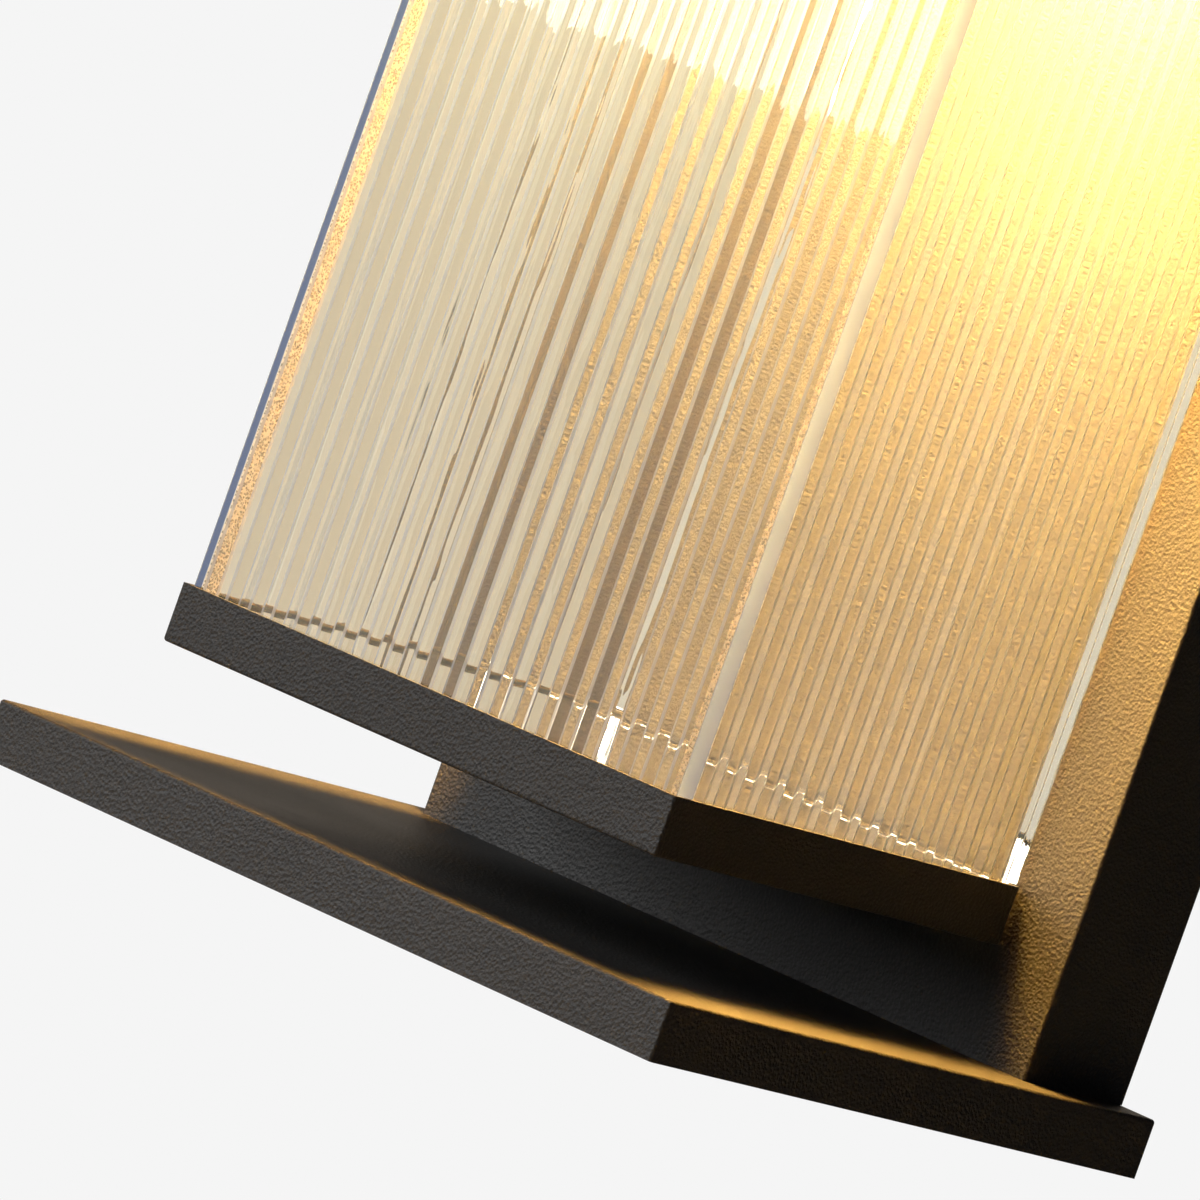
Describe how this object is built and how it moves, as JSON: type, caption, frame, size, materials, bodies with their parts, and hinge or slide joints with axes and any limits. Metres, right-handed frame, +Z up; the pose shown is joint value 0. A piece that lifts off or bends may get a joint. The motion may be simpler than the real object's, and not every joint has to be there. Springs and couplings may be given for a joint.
{
  "type": "outdoor wall lamp",
  "caption": "Wall lamp with a reeded glass box shade held between two flat plates on a slim folded back box.",
  "frame": {"origin": "centre of the wall bracket's back face, on the wall", "axes": "+Z up, +Y into the wall, +X to the right as seen from in front; the lamp's front looks along -Y"},
  "size_m": [0.16, 0.12, 0.35],
  "materials": {
    "black_coat": "fine sand-textured black powder coat",
    "screw_steel": "plain stainless",
    "zinc_steel": "zinc plated",
    "black_steel": "blackened",
    "rubber": "matte",
    "terminal_plastic": "moulded, natural",
    "holder_plastic": "moulded, black",
    "brass": "plain",
    "brown_wire": "soft insulation",
    "blue_wire": "soft insulation",
    "earth_wire": "soft insulation, green and yellow",
    "reeded_glass": "clear, reeded outside",
    "clear_bond": "clear adhesive with small bubbles",
    "bulb_opal": "frosted, lit warm",
    "bulb_white": "moulded, white",
    "bulb_metal": "rolled thread",
    "bulb_black": "glassy black",
    "light_strips": "yellow phosphor, lit"
  },
  "bodies": {
    "frame": {"bottom_plate": "black_coat", "bottom_plate_cover": "black_coat", "top_plate": "black_coat", "top_plate_cover": "black_coat", "cover_screws": "screw_steel", "plate_screws": "screw_steel", "back_box": "black_coat", "rivet_nuts": "zinc_steel", "wall_bracket": "zinc_steel", "side_screws": "screw_steel", "side_nuts": "zinc_steel", "entry_grommet": "rubber", "terminal_block": "terminal_plastic", "terminal_screws": "brass", "terminal_fixings": "screw_steel", "earth_washer": "brass", "earth_ring_terminal": "brass", "earth_screw": "brass", "lamp_arm": "zinc_steel", "arm_screws": "screw_steel", "wire_grommet": "rubber", "lampholder": "holder_plastic", "holder_screws": "screw_steel", "holder_shell": "brass", "holder_contact": "brass", "live_wire": "brown_wire", "neutral_wire": "blue_wire", "earth_wire": "earth_wire"},
    "shade": {"shade_tray": "black_coat", "shade_cap": "black_coat", "glass_front": "reeded_glass", "glass_left": "reeded_glass", "glass_right": "reeded_glass", "tray_glass_bed": "clear_bond", "cap_glass_bed": "rubber", "corner_bonds": "clear_bond", "side_seals": "clear_bond"},
    "thumbscrew_left": {"thumbscrew_left": "black_steel"},
    "thumbscrew_right": {"thumbscrew_right": "black_steel"},
    "bulb": {"bulb_globe": "bulb_opal", "bulb_collar": "bulb_white", "bulb_cap": "bulb_metal", "bulb_insulator": "bulb_black", "bulb_contact": "brass", "bulb_stem": "bulb_white", "bulb_leds": "light_strips"}
  },
  "joints": [
    {"name": "shade_slide", "type": "slide", "parent": "frame", "child": "shade", "axis": [0, -1, 0], "range_m": [0, 0.12]},
    {"name": "thumb_turn_left", "type": "hinge", "parent": "shade", "child": "thumbscrew_left", "pos_m": [-0.036, -0.028, 0.1556], "axis": [0, 1, 0], "continuous": true},
    {"name": "thumb_turn_right", "type": "hinge", "parent": "shade", "child": "thumbscrew_right", "pos_m": [0.036, -0.028, 0.1556], "axis": [0, 1, 0], "continuous": true},
    {"name": "bulb_turn", "type": "hinge", "parent": "frame", "child": "bulb", "pos_m": [0, -0.0686, 0.03], "axis": [0, 0, 1], "continuous": true}
  ]
}
